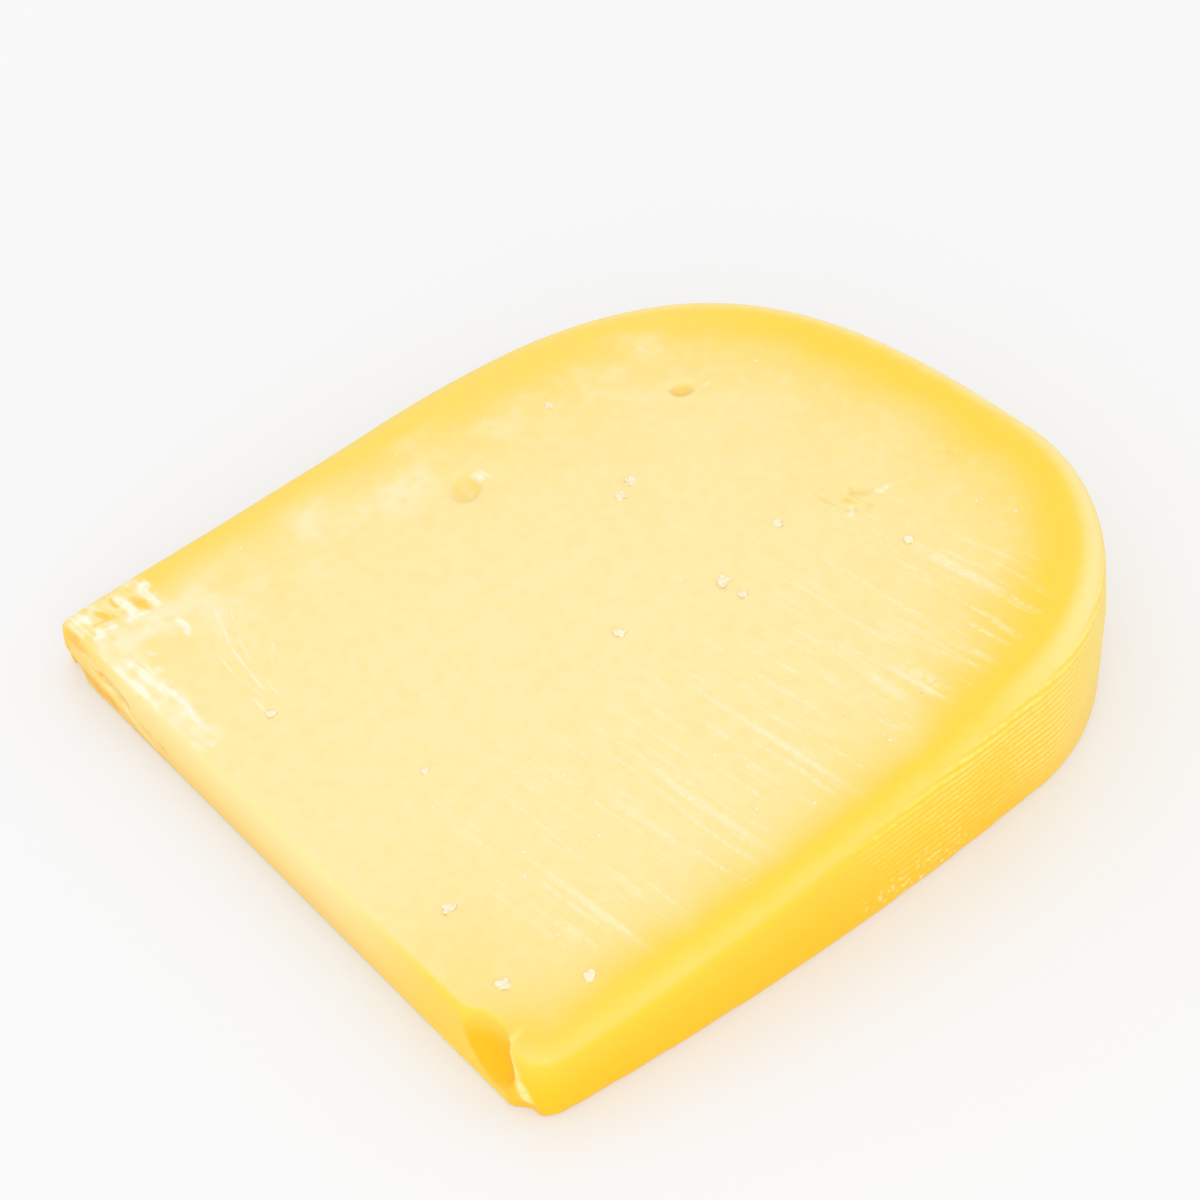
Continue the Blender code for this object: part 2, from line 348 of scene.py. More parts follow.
def zones_of(tree, where):
    """Shares of 0 to 1 that say which part of the cheese a point belongs to, and how deep it lies."""
    x, y, z = add(tree, "ShaderNodeSeparateXYZ", (where,)).outputs
    facing = add(tree, "ShaderNodeTexCoord").outputs["Normal"]
    facing = add(tree, "ShaderNodeSeparateXYZ", (facing,)).outputs
    measured = add(tree, "ShaderNodeAttribute", attribute_name="rind_depth").outputs["Fac"]
    depth = add(tree, "ShaderNodeMath", (measured, MM), operation="DIVIDE")
    lift = add(tree, "ShaderNodeVectorMath", (where, FACE_SLOPE), operation="DOT_PRODUCT").outputs["Value"]
    sunk = add(tree, "ShaderNodeMath", (TIP_THICKNESS, lift), operation="SUBTRACT")
    height = add(tree, "ShaderNodeMath", (z, sunk), operation="ADD")
    on_side = add(tree, "ShaderNodeMapRange", (facing["Z"], 0.75, 0.35), **SOFTLY)
    on_top = add(tree, "ShaderNodeMapRange", (sunk, 2.2, 0.4), **SOFTLY)
    by_tip = add(tree, "ShaderNodeMapRange", (y, 5.0, 2.5), **SOFTLY)
    scoop = add(
        tree, "ShaderNodeMapping",
        {"Vector": where, "Location": SHARD_MIDDLE, "Rotation": SHARD_TURN, "Scale": SHARD_REACH},
        vector_type="TEXTURE",
    )
    scoop_reach = add(tree, "ShaderNodeVectorMath", (scoop,), operation="LENGTH").outputs["Value"]
    corner = add(tree, "ShaderNodeMapRange", (x, -16.8, -17.8, 0.0, on_top), **SOFTLY)
    corner = add(tree, "ShaderNodeMapRange", (y, 5.8, 3.4, 0.0, corner), **SOFTLY)
    beyond = add(tree, "ShaderNodeMapRange", (x, -38.0, -42.0, 0.0, on_top), **SOFTLY)
    beyond = add(tree, "ShaderNodeMapRange", (y, 13.5, 11.0, 0.0, beyond), **SOFTLY)
    inland = add(tree, "ShaderNodeMapRange", (depth, 5.5, 7.0), **SOFTLY)
    inland = add(tree, "ShaderNodeMapRange", (y, 5.0, 8.0, 0.0, inland), **SOFTLY)
    return {
        "x": x, "y": y, "z": z, "depth": depth, "on_top": on_top, "by_tip": by_tip,
        "flat": add(tree, "ShaderNodeMapRange", (facing["Z"], 0.93, 0.985), **SOFTLY),
        "level": add(tree, "ShaderNodeMath", (z, height), operation="DIVIDE"),
        "tip": add(tree, "ShaderNodeMapRange", (facing["Y"], -0.35, -0.8, 0.0, by_tip), **SOFTLY),
        "rind": add(tree, "ShaderNodeMapRange", (depth, 1.6, 0.5, 0.0, on_side), **SOFTLY),
        "broken": add(tree, "ShaderNodeMapRange", (scoop_reach, 1.05, 0.8), **SOFTLY),
        "pit_shade": add(tree, "ShaderNodeMapRange", (sunk, 0.25, 1.1, 0.0, inland), **SOFTLY),
        "smear": add(tree, "ShaderNodeMath", (corner, beyond), operation="MAXIMUM"),
    }


def patterns_of(tree, where, zone):
    """The noises that both the colours and the relief of the cheese are made with."""
    slant = add(tree, "ShaderNodeMath", (zone["y"], -0.0009, -0.045), operation="MULTIPLY_ADD")
    across = add(tree, "ShaderNodeMath", (zone["x"], slant, zone["y"]), operation="MULTIPLY_ADD")
    dragged = add(tree, "ShaderNodeCombineXYZ", (zone["x"], across, 0.0))
    drawn_out = add(
        tree, "ShaderNodeVectorMath", (dragged, (1 / DRAG_LENGTH, 1 / DRAG_WIDTH, 0.0)), operation="MULTIPLY"
    )
    drag = {"Vector": drawn_out, "Scale": 1.0, "Detail": 1.0}
    grit = {"Vector": where, "Scale": 1 / GRIT_SIZE, "Detail": 1.0}
    lumps = {"Vector": where, "Scale": 1 / LUMP_SIZE, "Detail": 0.0}
    broad = {"Vector": where, "Scale": 1 / BROAD_SIZE, "Detail": 1.0}
    return {
        "drag": add(tree, "ShaderNodeTexNoise", drag, noise_dimensions="2D").outputs[0],
        "grit": add(tree, "ShaderNodeTexNoise", grit).outputs[0],
        "lumps": add(tree, "ShaderNodeTexNoise", lumps).outputs[0],
        "broad": add(tree, "ShaderNodeTexNoise", broad).outputs[0],
    }


def paste_colour(tree, zone, broad):
    """Pale in the middle of the piece, a saturated yellow where it has dried under the rind, with a painted
    highlight on the rounded edge round the rim.
    """
    shift = add(tree, "ShaderNodeMapRange", (broad, 0.3, 0.7, 0.88 / PASTE_REACH, 1.15 / PASTE_REACH))
    # The band is almost twice as wide round the rim, from where the -X flat starts to turn.
    rimward = add(tree, "ShaderNodeMath", (zone["x"], -0.3, zone["y"]), operation="MULTIPLY_ADD")
    width = add(tree, "ShaderNodeMapRange", (rimward, 48.0, 80.0, 1.0, 1.85), **SOFTLY)
    wide = add(tree, "ShaderNodeMath", (zone["depth"], width), operation="DIVIDE")
    share = add(tree, "ShaderNodeMath", (wide, shift), operation="MULTIPLY")
    colour = set_ramp(
        add(tree, "ShaderNodeValToRGB", (share,)), [(mm / PASTE_REACH, c) for mm, c in PASTE_BY_DEPTH]
    )
    by_rim = add(tree, "ShaderNodeMapRange", (zone["y"], 70.0, 100.0, 0.0, 0.9), **SOFTLY)
    by_tip = add(tree, "ShaderNodeMapRange", (zone["y"], 22.0, 0.0, 0.0, 0.4), **SOFTLY)
    return layers_on(tree, colour, (
        (RIM_EDGE_HIGHLIGHT, add(tree, "ShaderNodeMapRange", (zone["depth"], 3.6, 1.0, 0.0, by_rim), **SOFTLY)),
        (LEFT_DEEPER, add(tree, "ShaderNodeMapRange", (zone["x"], -20.0, -42.0, 0.0, 0.28), **SOFTLY)),
        (CORNER_DEEPER, add(tree, "ShaderNodeMapRange", (zone["x"], 14.0, 36.0, 0.0, by_tip), **SOFTLY)),
    ))


def cloth_imprint(tree, zone, patterns):
    """The threads of the press cloth, run along the rind: their relief from 0 to 1, and how strongly a painted
    highlight lies on their crests.
    """
    row = add(tree, "ShaderNodeMath", (zone["z"], CLOTH_PITCH), operation="DIVIDE")
    row = add(tree, "ShaderNodeMath", (patterns["broad"], 1.6, row), operation="MULTIPLY_ADD")
    turn = add(tree, "ShaderNodeMath", (row, math.tau), operation="MULTIPLY")
    wave = add(tree, "ShaderNodeMath", (turn,), operation="SINE")
    worn = add(tree, "ShaderNodeMapRange", (patterns["broad"], 0.38, 0.6, 0.45, 1.0), **SOFTLY)
    worn = add(tree, "ShaderNodeMapRange", (zone["y"], 42.0, 68.0, 0.0, worn), **SOFTLY)
    worn = add(tree, "ShaderNodeMapRange", (zone["level"], 0.0, 0.4, 0.0, worn), **SOFTLY)
    relief = add(tree, "ShaderNodeMapRange", (wave, -0.8, 0.8, 0.0, worn), **SOFTLY)
    return relief, add(tree, "ShaderNodeMapRange", (patterns["grit"], 0.30, 0.58, 0.0, relief), **SOFTLY)


def rind_colour(tree, zone, relief, pale, grit):
    """Saturated at the foot as painted shade, paler at the rounded edge as a painted highlight and round the
    rim as painted sheen, with painted shade in the cloth's grooves and a painted highlight on its threads.
    """
    colour = set_ramp(add(tree, "ShaderNodeValToRGB", (zone["level"],)), RIND_SHADED_BY_LEVEL)
    low = add(tree, "ShaderNodeMapRange", (zone["z"], 8.0, 2.5, 0.0, 0.8), **SOFTLY)
    low = add(tree, "ShaderNodeMapRange", (zone["y"], 48.0, 56.0, 0.0, low), **SOFTLY)
    low = add(tree, "ShaderNodeMapRange", (zone["y"], 76.0, 66.0, 0.0, low), **SOFTLY)
    return layers_on(tree, colour, (
        (RIND_SHEEN_BY_RIM, add(tree, "ShaderNodeMapRange", (zone["y"], 72.0, 98.0, 0.0, 0.6), **SOFTLY)),
        (CLOTH_GROOVE_SHADE, add(tree, "ShaderNodeMapRange", (relief, 0.0, 1.0, 0.30, 0.0))),
        (CLOTH_CREST_HIGHLIGHT, add(tree, "ShaderNodeMath", (pale, 0.8), operation="MULTIPLY")),
        (CRUMB_PALE, add(tree, "ShaderNodeMapRange", (grit, 0.59, 0.70, 0.0, low), **SOFTLY)),
    ))


def tip_colour(tree, zone, lumps):
    """The tip's cut: painted shade at its foot, a painted highlight at its upper edge, painted shade round the
    gap, and golden towards the rind.
    """
    colour = set_ramp(add(tree, "ShaderNodeValToRGB", (zone["level"],)), TIP_SHADED_BY_LEVEL)
    fray = add(tree, "ShaderNodeMath", (lumps, 0.8, -0.4), operation="MULTIPLY_ADD")
    hollow_shadows = soft_share(tree, "tip_hollow_shadows", fray)
    return layers_on(tree, colour, (
        (TIP_GOLD_RIGHT, add(tree, "ShaderNodeMapRange", (zone["x"], 10.0, 38.0, 0.0, 0.9), **SOFTLY)),
        (TIP_GAP_SHADE_GOLD, add(tree, "ShaderNodeMapRange", (zone["x"], -34.0, -44.0, 0.0, 0.55), **SOFTLY)),
        # Painted shadow in the hollows.
        (HOLLOW_SHADOW_AMBER, add(tree, "ShaderNodeMath", (hollow_shadows, 0.8), operation="MULTIPLY")),
    ))


def face_layers(tree, zone, patterns, marks):
    """What lies on the upper face's paste, from the bottom up, as (colour, share)."""
    drag, grit, lumps = patterns["drag"], patterns["grit"], patterns["lumps"]
    x, y, depth, on_top, smear = (zone[name] for name in ("x", "y", "depth", "on_top", "smear"))

    inland = add(tree, "ShaderNodeMapRange", (depth, 7.0, 13.0, 0.0, 0.16), **SOFTLY)
    mottled = add(tree, "ShaderNodeMapRange", (lumps, 0.48, 0.75, 0.0, inland), **SOFTLY)
    deeper = add(tree, "ShaderNodeMapRange", (lumps, 0.50, 0.25, 0.0, inland), **SOFTLY)

    # Dry bloom on the band, along the -X flat, in soft patches.
    band = add(tree, "ShaderNodeMapRange", (depth, 5.0, 9.0, 0.0, on_top), **SOFTLY)
    band = add(tree, "ShaderNodeMapRange", (depth, 26.0, 11.0, 0.0, band), **SOFTLY)
    band = add(tree, "ShaderNodeMapRange", (x, 0.0, -30.0, 0.0, band), **SOFTLY)
    band = add(tree, "ShaderNodeMapRange", (y, 98.0, 86.0, 0.0, band), **SOFTLY)
    patches = add(tree, "ShaderNodeMapRange", (patterns["broad"], 0.44, 0.66, 0.0, band), **SOFTLY)
    bloom = add(tree, "ShaderNodeMapRange", (lumps, -0.1, 0.7, 0.0, patches), **SOFTLY)

    # The wire's drag: faint everywhere, plain on the third of the face towards +X. Its streaks, marks and
    # scratches are paler scuffed paste with a painted sheen.
    plain = add(tree, "ShaderNodeMapRange", (x, 4.0, 30.0, 0.08, 0.48), **SOFTLY)
    plain = add(tree, "ShaderNodeMapRange", (depth, 4.0, 10.0, 0.0, plain), **SOFTLY)
    plain = add(tree, "ShaderNodeMapRange", (y, 8.0, 18.0, 0.0, plain), **SOFTLY)
    plain = add(tree, "ShaderNodeMapRange", (y, 102.0, 90.0, 0.0, plain), **SOFTLY)
    plain = add(tree, "ShaderNodeMapRange", (grit, 0.30, 0.58, 0.0, plain), **SOFTLY)
    streaks = add(tree, "ShaderNodeMapRange", (drag, 0.54, 0.76, 0.0, plain), **SOFTLY)
    worn = add(tree, "ShaderNodeMapRange", (grit, 0.30, 0.60, 0.32, 0.82), **SOFTLY)
    worn = add(tree, "ShaderNodeMapRange", (depth, 4.0, 11.0, 0.25, worn), **SOFTLY)

    # The left corner of the tip, where the knife dragged the paste into a thin shining skin: a pale veil of
    # painted sheen lies on it, with white painted glints along its streaks.
    cloudy = add(tree, "ShaderNodeMath", (drag, lumps), operation="ADD")
    sheen_veil = add(tree, "ShaderNodeMapRange", (cloudy, 0.6, 1.3, 0.2, 0.9), **SOFTLY)
    fray = add(tree, "ShaderNodeMath", (cloudy, 1.1, -1.1), operation="MULTIPLY_ADD")
    skin = add(tree, "ShaderNodeMapRange", (grit, 0.0, 0.55, 0.0, on_top), **SOFTLY)
    skin = add(tree, "ShaderNodeMath", (skin, 0.9), operation="MULTIPLY")
    glints, bared = soft_share(tree, "painted_glints", fray), soft_share(tree, "bared", fray)
    scratches, light_scratches = fine_share(tree, "scratches"), fine_share(tree, "light_scratches")
    return (
        (MOTTLE_CREAM, mottled),
        (MOTTLE_DEEP, deeper),
        (BLOOM_CREAM, bloom),
        (MARK_SHEEN_CREAM, streaks),
        (MARK_SHEEN_CREAM, add(tree, "ShaderNodeMath", (marks, worn), operation="MULTIPLY")),
        (MARK_SHEEN_CREAM, add(tree, "ShaderNodeMath", (scratches, on_top), operation="MULTIPLY")),
        (MARK_SHEEN_CREAM, add(tree, "ShaderNodeMath", (light_scratches, 0.6), operation="MULTIPLY")),
        # A pale veil of painted sheen, and white painted glints, on the corner's shining skin.
        (SHEEN_VEIL_CREAM, add(tree, "ShaderNodeMath", (smear, sheen_veil), operation="MULTIPLY")),
        (BARED_GOLD, add(tree, "ShaderNodeMath", (bared, 0.9), operation="MULTIPLY")),
        (GLINT_WHITE, add(tree, "ShaderNodeMath", (glints, skin), operation="MULTIPLY")),
        # Painted shade in the holes.
        (PIT_SHADE_YELLOW, add(tree, "ShaderNodeMapRange", (lumps, 0.2, 0.6, 0.0, zone["pit_shade"]), **SOFTLY)),
    )


def cheese_material():
    """Aged semi-hard cheese: a dense, fatty paste cut with a wire, and a rind pressed in cloth.

    The paste is matt to satin with a soft oily sheen, pale in the middle and a saturated yellow just
    under the rind, where it has dried. Light passes a few millimetres into it.
    """
    material = bpy.data.materials.new("aged_cheese_paste_and_rind")
    material.use_nodes = True
    tree = material.node_tree
    tree.nodes.clear()
    where = cheese_millimetres(tree)
    zone = zones_of(tree, where)
    patterns = patterns_of(tree, where, zone)
    on_top, broken = zone["on_top"], zone["broken"]
    skinned = add(tree, "ShaderNodeMath", (zone["smear"], zone["flat"]), operation="MULTIPLY")
    marks = add(tree, "ShaderNodeMath", (soft_share(tree, "wire_marks"), on_top), operation="MULTIPLY")
    # Painted highlights along the thin lips of the tip's cut.
    lip_highlights = add(tree, "ShaderNodeMath", (fine_share(tree, "tip_lip_highlights"), zone["by_tip"]), operation="MULTIPLY")
    lip_highlights = add(tree, "ShaderNodeMath", (lip_highlights, 0.75), operation="MULTIPLY")
    # Painted highlight along the torn ridge beside the shard.
    torn_highlight = add(tree, "ShaderNodeMath", (soft_share(tree, "torn_edge_highlights"), zone["by_tip"]), operation="MULTIPLY")
    torn_highlight = add(tree, "ShaderNodeMapRange", (patterns["grit"], 0.1, 0.5, 0.0, torn_highlight), **SOFTLY)
    relief, pale = cloth_imprint(tree, zone, patterns)
    # Where the shard broke away: the band's deeper yellow darkened as painted shade in the scoop, with less of
    # it towards the top.
    broken_less_shaded = add(tree, "ShaderNodeMapRange", (zone["level"], 0.55, 0.95, 0.0, 0.8), **SOFTLY)
    colour = layers_on(tree, paste_colour(tree, zone, patterns["broad"]), (
        *face_layers(tree, zone, patterns, marks),
        (tip_colour(tree, zone, patterns["lumps"]), zone["tip"]),
        (rind_colour(tree, zone, relief, pale, patterns["grit"]), zone["rind"]),
        (layers_on(tree, linear(BROKEN_SHADE_YELLOW), ((BROKEN_LESS_SHADED, broken_less_shaded),)), broken),
        (LIP_HIGHLIGHT_CREAM, lip_highlights),
        (TORN_HIGHLIGHT_CREAM, torn_highlight),
    ))

    # Relief, in millimetres.
    ripples = add(tree, "ShaderNodeMapRange", (zone["x"], -20.0, 30.0, 0.02, 0.07), **SOFTLY)
    rough = add(tree, "ShaderNodeMath", (skinned, 0.12, 0.03), operation="MULTIPLY_ADD")
    rough = add(tree, "ShaderNodeMath", (broken, 0.08, rough), operation="MULTIPLY_ADD")
    on_rind = add(tree, "ShaderNodeMath", (zone["rind"], 0.06), operation="MULTIPLY")
    height = add(tree, "ShaderNodeMath", (patterns["grit"], 0.04), operation="MULTIPLY")
    for pattern, size in (
        (patterns["drag"], ripples), (patterns["lumps"], rough), (relief, on_rind), (marks, -0.06),
    ):
        height = add(tree, "ShaderNodeMath", (pattern, size, height), operation="MULTIPLY_ADD")
    bump = add(tree, "ShaderNodeBump", {"Height": height, "Distance": MM, "Strength": 1.0})

    satin = add(tree, "ShaderNodeMapRange", (patterns["grit"], 0.3, 0.7, 0.38, 0.46), **SOFTLY)
    shader = add(
        tree, "ShaderNodeBsdfPrincipled",
        {
            "Base Color": colour,
            "Roughness": add(tree, "ShaderNodeMath", (skinned, -0.18, satin), operation="MULTIPLY_ADD"),
            "IOR": 1.45,
            "Specular IOR Level": 0.3,
            "Subsurface Weight": 0.12,
            "Subsurface Radius": (1.0, 0.55, 0.15),
            "Subsurface Scale": 2.5 * MM,
            "Normal": bump,
        },
    )
    add(tree, "ShaderNodeOutputMaterial", {"Surface": shader})
    return material


# ---------------------------------------------------------------- the cheese

SKIN_STEP = 0.47 * MM   # size of the skin's faces
FOOT_SLACK = 0.15 * MM  # what lies lower than this belongs to the resting face
SAG = 0.25 * MM         # height of the skin's slow unevenness
SAG_LENGTH = 18 * MM
SOFT_REACH = 1.5        # a soft mark fades out at this many times its half width
SOFT_FADE = 1.3         # and over this many half widths
FINE_REACH = 1.0        # mm to either side over which a fine mark is written
OFF_MARKS = 9.0


def merged_copy(node, name):
    """A copy of a CAD node as one closed skin."""
    mesh = node.data.copy()
    mesh.name = name
    bm = bmesh.new()
    bm.from_mesh(mesh)
    bmesh.ops.remove_doubles(bm, verts=bm.verts, dist=0.002 * MM)
    bm.to_mesh(mesh)
    bm.free()
    mesh.materials.clear()
    piece = bpy.data.objects.new(name, mesh)
    bpy.context.scene.collection.objects.link(piece)
    return piece


def to_plain_mesh(piece):
    """The piece as its modifiers leave it, with no modifier left on it."""
    bpy.context.view_layer.update()
    evaluated = piece.evaluated_get(bpy.context.evaluated_depsgraph_get())
    mesh = bpy.data.meshes.new_from_object(evaluated)
    piece.modifiers.clear()
    piece.data = mesh
    return piece


def set_input(modifier, name, value):
    """Sets a Geometry Nodes modifier's input by the identifier of the socket with that name."""
    for item in modifier.node_group.interface.items_tree:
        if item.item_type == "SOCKET" and item.in_out == "INPUT" and item.name == name:
            modifier[item.identifier] = value


def new_tree(name, sockets):
    """A Geometry Nodes tree with geometry in and out, and the named inputs. Returns it and its inputs."""
    tree = bpy.data.node_groups.new(name, "GeometryNodeTree")
    tree.interface.new_socket("Geometry", in_out="INPUT", socket_type="NodeSocketGeometry")
    for socket, kind in sockets.items():
        tree.interface.new_socket(socket, in_out="INPUT", socket_type="NodeSocket" + kind)
    tree.interface.new_socket("Geometry", in_out="OUTPUT", socket_type="NodeSocketGeometry")
    return tree, add(tree, "NodeGroupInput").outputs


def surface_tree():
    """Measures each point's depth under the rind, and makes the skin uneven."""
    tree, given = new_tree(
        "cheese_surface", {"Solid": "Object", "Sag": "Float", "Sag length": "Float", "Finish": "Material"}
    )
    solid = add(tree, "GeometryNodeObjectInfo", {"Object": given["Solid"]})
    normal = add(tree, "GeometryNodeInputNormal")
    position = add(tree, "GeometryNodeInputPosition")
    n = add(tree, "ShaderNodeSeparateXYZ", {0: normal})
    p = add(tree, "ShaderNodeSeparateXYZ", {0: position})

    # The rind's faces stand upright, well below the upper face, and not on the tip's cut.
    steep = add(tree, "ShaderNodeMath", {0: n.outputs["Z"]}, operation="ABSOLUTE")
    upright = add(tree, "FunctionNodeCompare", {0: steep, 1: 0.5}, operation="LESS_THAN")
    above = add(tree, "ShaderNodeVectorMath", {0: position, 1: FACE_SLOPE}, operation="DOT_PRODUCT")
    level = place(0, 0, upper_face(0, 0) - 2.0).dot(FACE_SLOPE)
    low = add(tree, "FunctionNodeCompare", {0: above.outputs["Value"], 1: level}, operation="LESS_THAN")
    wall = add(tree, "FunctionNodeBooleanMath", {0: upright, 1: low}, operation="AND")
    behind = add(tree, "FunctionNodeCompare", {0: p.outputs["Y"], 1: place(0, 5.0).y}, operation="GREATER_THAN")
    left = add(tree, "FunctionNodeCompare", {0: p.outputs["X"], 1: place(-50.8, 0).x}, operation="LESS_THAN")
    right = add(tree, "FunctionNodeCompare", {0: p.outputs["X"], 1: place(48.5, 0).x}, operation="GREATER_THAN")
    corner = add(tree, "FunctionNodeBooleanMath", {0: left, 1: right}, operation="OR")
    off_tip = add(tree, "FunctionNodeBooleanMath", {0: behind, 1: corner}, operation="OR")
    is_rind = add(tree, "FunctionNodeBooleanMath", {0: wall, 1: off_tip}, operation="AND")
    rind = add(
        tree, "GeometryNodeSeparateGeometry",
        {"Geometry": solid.outputs["Geometry"], "Selection": is_rind}, domain="FACE",
    )
    plan = add(tree, "ShaderNodeCombineXYZ", {"X": p.outputs["X"], "Y": p.outputs["Y"]})
    footprint = add(tree, "GeometryNodeSetPosition", {"Geometry": rind.outputs["Selection"], "Position": plan})
    nearest = add(
        tree, "GeometryNodeProximity", {"Target": footprint, "Source Position": plan}, target_element="FACES"
    )
    stored = add(
        tree, "GeometryNodeStoreNamedAttribute",
        {"Geometry": given["Geometry"], "Name": "rind_depth", "Value": nearest.outputs["Distance"]},
        data_type="FLOAT", domain="POINT",
    )

    # Unevenness, which dies out towards the resting face so that the piece stays flat there.
    clear_of_foot = add(
        tree, "ShaderNodeMapRange", {"Value": p.outputs["Z"], "From Min": 0.3 * MM, "From Max": 2.0 * MM},
        interpolation_type="SMOOTHSTEP",
    )
    wave_scale = add(tree, "ShaderNodeMath", {0: 1.0, 1: given["Sag length"]}, operation="DIVIDE")
    waves = add(
        tree, "ShaderNodeTexNoise", {"Vector": position, "Scale": wave_scale, "Detail": 2.0, "Roughness": 0.45}
    )
    centred = add(tree, "ShaderNodeMath", {0: waves, 1: 0.5}, operation="SUBTRACT")
    sized = add(tree, "ShaderNodeMath", {0: centred, 1: given["Sag"]}, operation="MULTIPLY")
    lift = add(tree, "ShaderNodeMath", {0: sized, 1: clear_of_foot}, operation="MULTIPLY")
    offset = add(tree, "ShaderNodeVectorMath", {0: normal, "Scale": lift}, operation="SCALE")
    moved = add(tree, "GeometryNodeSetPosition", {"Geometry": stored, "Offset": offset})
    smooth = add(tree, "GeometryNodeSetShadeSmooth", {"Geometry": moved})
    joined = add(tree, "GeometryNodeRealizeInstances", {"Geometry": smooth})
    finished = add(tree, "GeometryNodeSetMaterial", {"Geometry": joined, "Material": given["Finish"]})
    add(tree, "NodeGroupOutput", {0: finished})
    return tree


def flatten_foot(mesh):
    """Lays the resting face at height 0 and makes one face of it, since it is flat."""
    bm = bmesh.new()
    bm.from_mesh(mesh)
    for vertex in bm.verts:
        if vertex.co.z < FOOT_SLACK:
            vertex.co.z = 0.0
    inner = [v for v in bm.verts if all(u.co.z == 0.0 for f in v.link_faces for u in f.verts)]
    bmesh.ops.delete(bm, geom=inner, context="VERTS")
    filled = bmesh.ops.contextual_create(bm, geom=[e for e in bm.edges if e.is_boundary])
    bmesh.ops.triangulate(bm, faces=filled["faces"])
    bmesh.ops.recalc_face_normals(bm, faces=bm.faces)
    bm.to_mesh(mesh)
    bm.free()


def ovals_of(marks):
    """The ovals that marks fill, as middle, heading, half length, half width and, if given, strength."""
    ovals = []
    for start, end, half_width, *strength in marks:
        line = Vector(end) - Vector(start)
        middle, half_length = (Vector(start) + Vector(end)) / 2, line.length / 2 + half_width
        ovals.append((middle, line.normalized(), half_length, half_width, *strength))
    return ovals


def write_soft_marks(mesh, name, marks, upright=False):
    """On every vertex, from 0 off the marks to their strength. Upright marks give X and Z, not X and Y."""
    ovals = ovals_of(marks)
    written = []
    for vertex in mesh.vertices:
        on_cheese = (vertex.co - TIP_MIDDLE) / MM
        on_face = on_cheese.xz if upright else on_cheese.xy
        most = 0.0
        for middle, heading, half_length, half_width, strength in ovals:
            offset = on_face - middle
            along = offset.dot(heading) / half_length
            if abs(along) < SOFT_REACH:
                reach = math.hypot(along, heading.cross(offset) / half_width)
                cover = min(max((SOFT_REACH - reach) / SOFT_FADE, 0.0), 1.0)
                most = max(most, strength * cover * cover * (3 - 2 * cover))
        written.append(most)
    mesh.attributes.new(name, "FLOAT", "POINT").data.foreach_set("value", written)


def write_fine_marks(mesh, name, marks, upright=False):
    """On every vertex, where it lies along and across the fine mark it is nearest to.

    Both run from -1 to 1 over the oval that the mark fills, so a mark finer than the skin's faces still
    shows as a line. Marks of one name lie 1.5 mm apart or more, or end to end.
    """
    ovals = ovals_of(marks)
    written = []
    for vertex in mesh.vertices:
        on_cheese = (vertex.co - TIP_MIDDLE) / MM
        on_face = on_cheese.xz if upright else on_cheese.xy
        nearest, best = (OFF_MARKS, OFF_MARKS, 0.0), OFF_MARKS
        for middle, heading, half_length, half_width in ovals:
            offset = on_face - middle
            along = offset.dot(heading) / half_length
            if abs(along) < 2.0:
                across = heading.cross(offset) / half_width
                reach = math.hypot(along, across)
                if reach < best and abs(across) * half_width < FINE_REACH:
                    nearest, best = (along, across, 0.0), reach
        written.extend(nearest)
    mesh.attributes.new(name, "FLOAT_VECTOR", "POINT").data.foreach_set("vector", written)


def make_cheese(finish):
    cheese = merged_copy(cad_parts["cheese_wedge"], "cheese")
    skin = cheese.modifiers.new("skin", "REMESH")
    skin.mode = "VOXEL"
    skin.voxel_size = SKIN_STEP * 1
    skin.use_smooth_shade = True
    soften = cheese.modifiers.new("soften", "SMOOTH")
    soften.factor = 0.5
    soften.iterations = 3
    to_plain_mesh(cheese)
    flatten_foot(cheese.data)
    surface = cheese.modifiers.new("surface", "NODES")
    surface.node_group = surface_tree()
    set_input(surface, "Solid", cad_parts["cheese_wedge"])
    set_input(surface, "Sag", SAG)
    set_input(surface, "Sag length", SAG_LENGTH)
    set_input(surface, "Finish", finish)
    to_plain_mesh(cheese)
    write_soft_marks(cheese.data, "wire_marks", WIRE_MARKS)
    write_soft_marks(cheese.data, "painted_glints", PAINTED_GLINTS)
    write_soft_marks(cheese.data, "bared", BARED)
    write_soft_marks(cheese.data, "tip_hollow_shadows", TIP_HOLLOW_SHADOWS, upright=True)
    write_soft_marks(cheese.data, "torn_edge_highlights", TORN_EDGE_HIGHLIGHTS, upright=True)
    write_fine_marks(cheese.data, "scratches", SCRATCHES)
    write_fine_marks(cheese.data, "light_scratches", LIGHT_SCRATCHES)
    write_fine_marks(cheese.data, "tip_lip_highlights", TIP_LIP_HIGHLIGHTS, upright=True)
    return cheese


# ---------------------------------------------------------------- protein crystals

# Clusters on the upper face: X and Y in mm, and how far they spread.
CRYSTALS = (
    (-35.0, 73.2, 0.45),
    (-14.3, 71.1, 0.85),
    (-13.1, 68.2, 0.75),
    (9.7, 67.0, 1.10),
    (13.1, 67.1, 0.40),
    (6.8, 79.2, 0.75),
    (6.4, 51.5, 0.75),
    (25.8, 8.0, 0.65),
    (39.6, 5.8, 0.80),
    (46.0, 13.7, 0.60),
    (6.6, 19.2, 0.30),
    (-16.1, 11.1, 0.55),
    (22.1, 88.6, 0.30),
)
